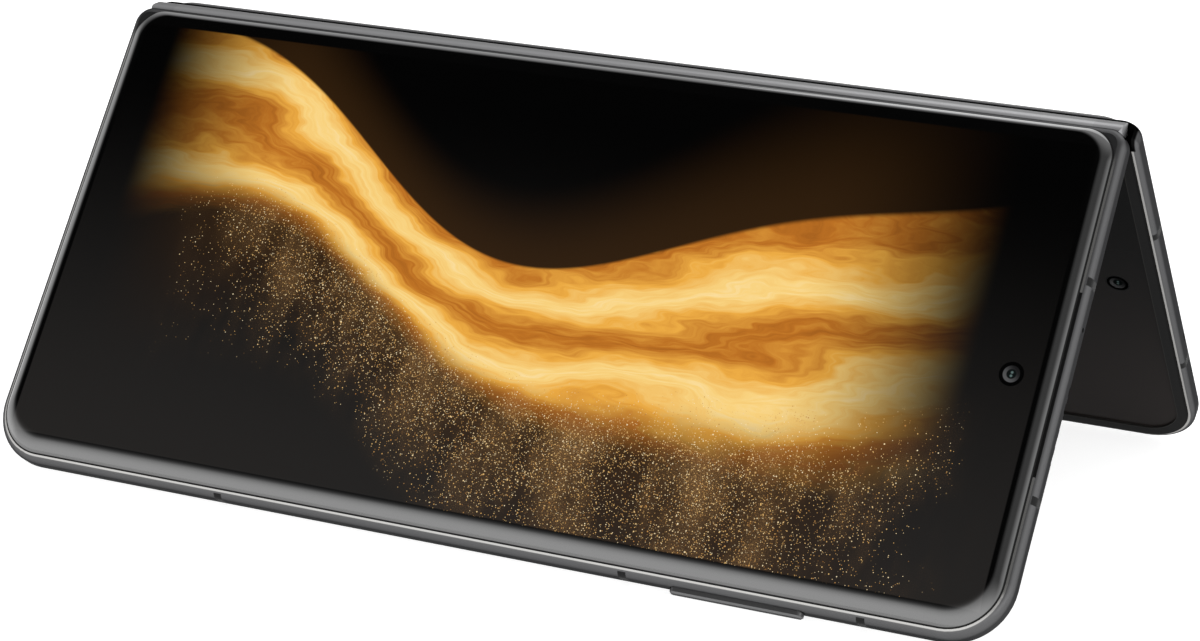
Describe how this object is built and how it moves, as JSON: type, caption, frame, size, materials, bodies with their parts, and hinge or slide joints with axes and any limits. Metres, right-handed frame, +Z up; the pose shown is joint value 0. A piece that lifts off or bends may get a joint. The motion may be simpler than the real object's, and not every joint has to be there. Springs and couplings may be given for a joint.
{
  "type": "foldable smartphone",
  "caption": "Book-style folding smartphone with an outer display, a flexible inner display and a spine hinge, standing as a tent.",
  "frame": {"origin": "middle of the footprint on the surface that the free edges of the two halves stand on", "axes": "+X along the hinge to the top end of the phone, the outer display faces -Y and up, the rear cameras +Y and up, +Z up"},
  "size_m": [0.1566, 0.093, 0.06],
  "materials": {
    "graphite_frame": "satin",
    "display_glass": "polished",
    "lens_glass": "polished",
    "rear_glass": "satin",
    "display_panel": "polished",
    "flexible_display": "polished",
    "bezel_polymer": "satin",
    "antenna_polymer": "satin",
    "polished_key": "satin",
    "tray_metal": "satin",
    "spine_metal": "satin",
    "spine_cap_metal": "satin",
    "hinge_steel": "brushed",
    "wing_steel": "brushed",
    "screw_steel": "polished",
    "camera_housing": "polished",
    "rear_camera_glass": "polished",
    "deck_metal": "satin",
    "flash_polymer": "polished",
    "mesh_black": "matte",
    "module_metal": "satin",
    "battery_wrap": "matte",
    "circuit_board": "satin",
    "flex_polyimide": "satin",
    "coil_copper": "satin",
    "port_metal": "satin"
  },
  "bodies": {
    "cover_half": {"cover_frame": "graphite_frame", "cover_glass": "display_glass", "cover_display_panel": "display_panel", "cover_camera": "camera_housing", "cover_antenna_bands": "antenna_polymer", "cover_battery": "battery_wrap", "cover_bezel": "bezel_polymer", "cover_inner_display": "flexible_display", "cover_screws": "screw_steel", "cover_hinge_arm_top": "hinge_steel", "cover_hinge_arm_middle": "hinge_steel", "cover_hinge_arm_bottom": "hinge_steel", "earpiece_mesh": "mesh_black", "earpiece": "module_metal", "sub_board": "circuit_board", "top_speaker": "module_metal", "vibration_motor": "module_metal", "volume_switch_flex": "flex_polyimide", "sim_socket": "module_metal"},
    "spine": {"spine_cover": "spine_metal", "spine_end_caps": "spine_cap_metal", "hinge_block_top": "hinge_steel", "hinge_block_middle": "hinge_steel", "hinge_block_bottom": "hinge_steel", "hinge_block_screws": "screw_steel", "inner_display_fold": "flexible_display", "hinge_flex_cable": "flex_polyimide"},
    "camera_half": {"camera_frame": "graphite_frame", "camera_deck": "deck_metal", "camera_battery": "battery_wrap", "camera_antenna_bands": "antenna_polymer", "camera_bezel": "bezel_polymer", "camera_inner_display": "flexible_display", "camera_screws": "screw_steel", "camera_hinge_arm_top": "hinge_steel", "camera_hinge_arm_middle": "hinge_steel", "camera_hinge_arm_bottom": "hinge_steel", "rear_glass": "rear_glass", "rear_camera_windows": "lens_glass", "main_camera": "rear_camera_glass", "wide_camera": "rear_camera_glass", "tele_camera": "rear_camera_glass", "flash_lens": "flash_polymer", "inner_camera": "camera_housing", "main_board": "circuit_board", "board_shield": "module_metal", "charging_coil": "coil_copper", "charging_port": "port_metal", "bottom_speaker": "module_metal", "power_switch_flex": "flex_polyimide"},
    "cover_wing": {"cover_support_wing": "wing_steel"},
    "camera_wing": {"camera_support_wing": "wing_steel"},
    "volume_key": {"volume_key": "polished_key"},
    "power_key": {"power_key": "polished_key"},
    "sim_tray": {"sim_tray": "tray_metal"}
  },
  "joints": [
    {"name": "cover_hinge", "type": "hinge", "parent": "spine", "child": "cover_half", "pos_m": [0, -0.0005, 0.05796], "axis": [-1, 0, 0], "range_deg": [-37.2, 52.8], "deforming": ["inner_display_fold", "hinge_flex_cable"]},
    {"name": "camera_hinge", "type": "hinge", "parent": "spine", "child": "camera_half", "pos_m": [0, 0.0005, 0.05796], "axis": [1, 0, 0], "range_deg": [-37.2, 52.8], "deforming": ["inner_display_fold", "hinge_flex_cable"]},
    {"name": "cover_wing_tilt", "type": "hinge", "parent": "cover_half", "child": "cover_wing", "pos_m": [0, -0.00613, 0.05137], "axis": [-1, 0, 0], "range_deg": [-5.16, 7.24]},
    {"name": "camera_wing_tilt", "type": "hinge", "parent": "camera_half", "child": "camera_wing", "pos_m": [0, 0.00613, 0.05137], "axis": [1, 0, 0], "range_deg": [-5.16, 7.24]},
    {"name": "volume_key_press", "type": "slide", "parent": "cover_half", "child": "volume_key", "axis": [0, 0.6046, 0.7965], "range_m": [0, 0.0003], "stiffness_N_per_m": 6000, "springref_m": -0.0001},
    {"name": "power_key_press", "type": "slide", "parent": "camera_half", "child": "power_key", "axis": [0, -0.6046, 0.7965], "range_m": [0, 0.0003], "stiffness_N_per_m": 6000, "springref_m": -0.0001},
    {"name": "sim_tray_slide", "type": "slide", "parent": "cover_half", "child": "sim_tray", "axis": [-1, 0, 0], "range_m": [0, 0.02]}
  ],
  "couplings": [
    {"joint": "camera_hinge", "follows": "cover_hinge", "ratio": 1},
    {"joint": "cover_wing_tilt", "follows": "cover_hinge", "ratio": 0.13333},
    {"joint": "camera_wing_tilt", "follows": "cover_hinge", "ratio": 0.13333}
  ]
}
